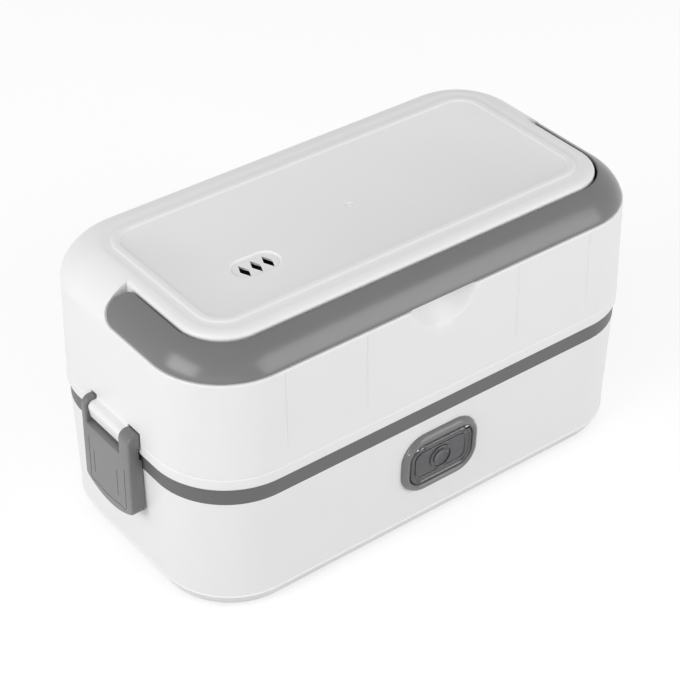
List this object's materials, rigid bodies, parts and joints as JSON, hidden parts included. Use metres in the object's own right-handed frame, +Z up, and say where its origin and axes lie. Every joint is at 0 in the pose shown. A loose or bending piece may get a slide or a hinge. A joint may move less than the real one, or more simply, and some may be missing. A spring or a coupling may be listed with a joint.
{
  "type": "electric lunch box",
  "caption": "Two-tone box that heats food: a base with a power inlet, lift-out trays, and a tall lid with end latches, steam vents and a folding handle.",
  "frame": {"origin": "on the surface that the feet stand on, under the middle of the body", "axes": "+X along the length, -Y out of the front with the power inlet, +Z up"},
  "size_m": [0.2412, 0.1243, 0.1274],
  "materials": {
    "white_body": "satin injection-moulded white polypropylene",
    "grey_trim": "satin moulded warm grey ABS",
    "liner_grey": "matt moulded darker grey ABS",
    "smoky_flap": "smoky see-through moulding",
    "foot_rubber": "dark rubber",
    "silicone": "translucent pale silicone",
    "screw_steel": "zinc-plated steel",
    "cast_plate": "cast aluminium",
    "heater_case": "extruded aluminium",
    "black_moulding": "black heat-proof moulding",
    "fuse_ceramic": "unglazed ceramic",
    "contact_brass": "nickel-flashed brass",
    "wire_sleeve": "silicone-sleeved wire",
    "tray_steel": "brushed stainless steel",
    "tray_plastic": "natural polypropylene",
    "clear_cover": "clear polypropylene"
  },
  "bodies": {
    "base": {"base_shell": "white_body", "base_liner": "liner_grey", "seam_band": "liner_grey", "feet": "foot_rubber", "base_screws": "screw_steel", "heating_plate": "cast_plate", "ptc_heater": "heater_case", "heater_clamp": "screw_steel", "clamp_screws": "screw_steel", "thermostat": "black_moulding", "thermal_fuse": "fuse_ceramic", "fuse_clip": "screw_steel", "inlet_socket": "black_moulding", "inlet_pins": "contact_brass", "inlet_bezel": "grey_trim", "flap_pin": "screw_steel", "heater_wires": "wire_sleeve"},
    "flap": {"inlet_flap": "smoky_flap"},
    "steel_tray": {"steel_container": "tray_steel"},
    "food_tray": {"upper_tray": "tray_plastic"},
    "cover": {"tray_cover": "clear_cover", "tray_gasket": "silicone"},
    "lid": {"lid_shell": "white_body", "lid_seal": "silicone", "vent_baffle": "silicone"},
    "handle": {"handle": "grey_trim"},
    "left_latch": {"left_latch": "grey_trim"},
    "right_latch": {"right_latch": "grey_trim"}
  },
  "joints": [
    {"name": "flap_hinge", "type": "hinge", "parent": "base", "child": "flap", "pos_m": [0, -0.06153, 0.04396], "axis": [-1, 0, 0], "range_deg": [0, 95]},
    {"name": "steel_tray_lift", "type": "slide", "parent": "base", "child": "steel_tray", "axis": [0, 0, 1], "range_m": [0, 0.05]},
    {"name": "food_tray_lift", "type": "slide", "parent": "steel_tray", "child": "food_tray", "axis": [0, 0, 1], "range_m": [0, 0.05]},
    {"name": "cover_lift", "type": "slide", "parent": "food_tray", "child": "cover", "axis": [0, 0, 1], "range_m": [0, 0.03]},
    {"name": "lid_lift", "type": "slide", "parent": "cover", "child": "lid", "axis": [0, 0, 1], "range_m": [0, 0.09]},
    {"name": "handle_hinge", "type": "hinge", "parent": "lid", "child": "handle", "pos_m": [0, 0, 0.1202], "axis": [-1, 0, 0], "range_deg": [0, 90]},
    {"name": "left_latch_hinge", "type": "hinge", "parent": "lid", "child": "left_latch", "pos_m": [-0.1164, 0, 0.0705], "axis": [0, 1, 0], "range_deg": [0, 100]},
    {"name": "right_latch_hinge", "type": "hinge", "parent": "lid", "child": "right_latch", "pos_m": [0.1164, 0, 0.0705], "axis": [0, -1, 0], "range_deg": [0, 100]}
  ]
}
